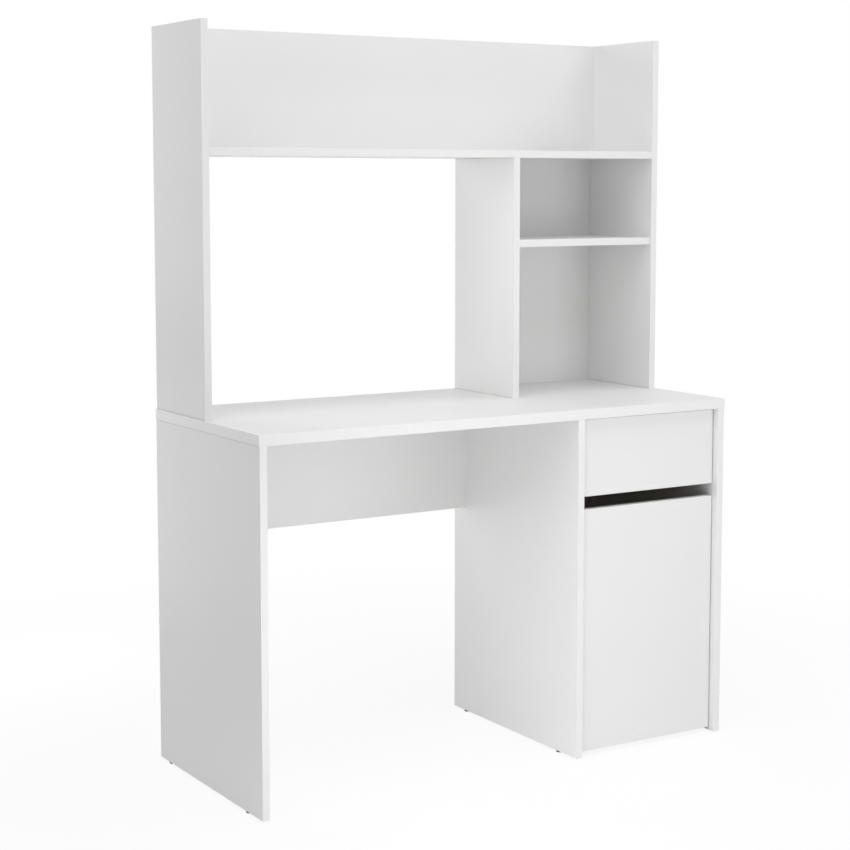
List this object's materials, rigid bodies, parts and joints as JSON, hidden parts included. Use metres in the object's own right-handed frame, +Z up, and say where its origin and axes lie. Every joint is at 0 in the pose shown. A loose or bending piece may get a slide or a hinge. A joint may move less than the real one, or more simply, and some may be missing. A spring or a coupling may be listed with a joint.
{
  "type": "student desk with hutch",
  "caption": "White panel desk with a drawer over a cupboard door on the right, an open knee space, and a hutch with a long shelf, a tray and a small nook.",
  "frame": {"origin": "on the floor, below the middle of the whole piece", "axes": "+X to the right of someone who sits at the desk, +Y to the back, +Z up"},
  "size_m": [1.15, 0.487, 1.556],
  "materials": {
    "white_board": "particle board faced with white melamine, matt",
    "white_edge_band": "white plastic edge band, satin",
    "white_hardboard": "hardboard with a white lacquered face",
    "zinc_casting": "zinc die casting",
    "zinc_plated_steel": "zinc plated steel",
    "nickel_plated_steel": "nickel plated steel",
    "beech_dowel": "fluted beech",
    "black_plastic": "black polypropylene",
    "white_painted_steel": "white powder coat",
    "white_nylon": "white nylon",
    "white_plastic": "white moulded plastic"
  },
  "bodies": {
    "desk": {"desktop": "white_board", "desktop_edging": "white_edge_band", "left_side_panel": "white_board", "middle_panel": "white_board", "right_side_panel": "white_board", "panel_edging": "white_edge_band", "modesty_panel": "white_board", "cupboard_bottom": "white_board", "cupboard_shelf": "white_board", "shelf_pins": "zinc_plated_steel", "cupboard_back": "white_hardboard", "back_pins": "zinc_plated_steel", "floor_glides": "black_plastic", "desk_cam_locks": "zinc_casting", "desk_cam_bolts": "zinc_plated_steel", "desk_dowels": "beech_dowel", "cabinet_runner_left": "white_painted_steel", "cabinet_runner_right": "white_painted_steel", "cabinet_screws": "zinc_plated_steel", "front_roller_pins": "zinc_plated_steel", "hinge_arms": "nickel_plated_steel", "hinge_plates": "nickel_plated_steel", "magnetic_catch": "white_plastic", "hutch_left_side": "white_board", "hutch_right_side": "white_board", "hutch_divider": "white_board", "hutch_shelf": "white_board", "hutch_upper_back": "white_board", "nook_shelf": "white_board", "nook_back": "white_hardboard", "hutch_edging": "white_edge_band", "hutch_cam_locks": "zinc_casting", "hutch_cam_bolts": "zinc_plated_steel", "hutch_dowels": "beech_dowel", "joining_plates": "white_painted_steel", "joining_plate_screws": "zinc_plated_steel"},
    "drawer": {"drawer_front": "white_board", "drawer_front_edging": "white_edge_band", "drawer_left_side": "white_board", "drawer_right_side": "white_board", "drawer_back": "white_board", "drawer_bottom": "white_hardboard", "drawer_cam_locks": "zinc_casting", "drawer_cam_bolts": "zinc_plated_steel", "drawer_screws": "zinc_plated_steel", "drawer_runner_left": "white_painted_steel", "drawer_runner_right": "white_painted_steel", "rear_roller_pins": "zinc_plated_steel"},
    "door": {"door_panel": "white_board", "door_edging": "white_edge_band", "hinge_cups": "nickel_plated_steel", "hinge_pins": "zinc_plated_steel", "door_screws": "zinc_plated_steel", "strike_plate": "nickel_plated_steel"},
    "front_roller_left": {"front_roller_left": "white_nylon"},
    "front_roller_right": {"front_roller_right": "white_nylon"},
    "rear_roller_left": {"rear_roller_left": "white_nylon"},
    "rear_roller_right": {"rear_roller_right": "white_nylon"}
  },
  "joints": [
    {"name": "drawer_slide", "type": "slide", "parent": "desk", "child": "drawer", "axis": [0, -1, 0], "range_m": [0, 0.3]},
    {"name": "door_hinge", "type": "hinge", "parent": "desk", "child": "door", "pos_m": [0.536, -0.2195, 0.2755], "axis": [0, 0, 1], "range_deg": [0, 95]},
    {"name": "front_roller_left_spin", "type": "hinge", "parent": "desk", "child": "front_roller_left", "pos_m": [0.19895, -0.1935, 0.59045], "axis": [1, 0, 0], "range_deg": [0, 1915]},
    {"name": "front_roller_right_spin", "type": "hinge", "parent": "desk", "child": "front_roller_right", "pos_m": [0.55105, -0.1935, 0.59045], "axis": [1, 0, 0], "range_deg": [0, 1915]},
    {"name": "rear_roller_left_spin", "type": "hinge", "parent": "drawer", "child": "rear_roller_left", "pos_m": [0.19895, 0.1725, 0.59005], "axis": [1, 0, 0], "range_deg": [0, 1915]},
    {"name": "rear_roller_right_spin", "type": "hinge", "parent": "drawer", "child": "rear_roller_right", "pos_m": [0.55105, 0.1725, 0.59005], "axis": [1, 0, 0], "range_deg": [0, 1915]}
  ],
  "couplings": [
    {"joint": "front_roller_left_spin", "follows": "drawer_slide", "rad_per_m": 111.11},
    {"joint": "front_roller_right_spin", "follows": "drawer_slide", "rad_per_m": 111.11},
    {"joint": "rear_roller_left_spin", "follows": "drawer_slide", "rad_per_m": 111.11},
    {"joint": "rear_roller_right_spin", "follows": "drawer_slide", "rad_per_m": 111.11}
  ]
}
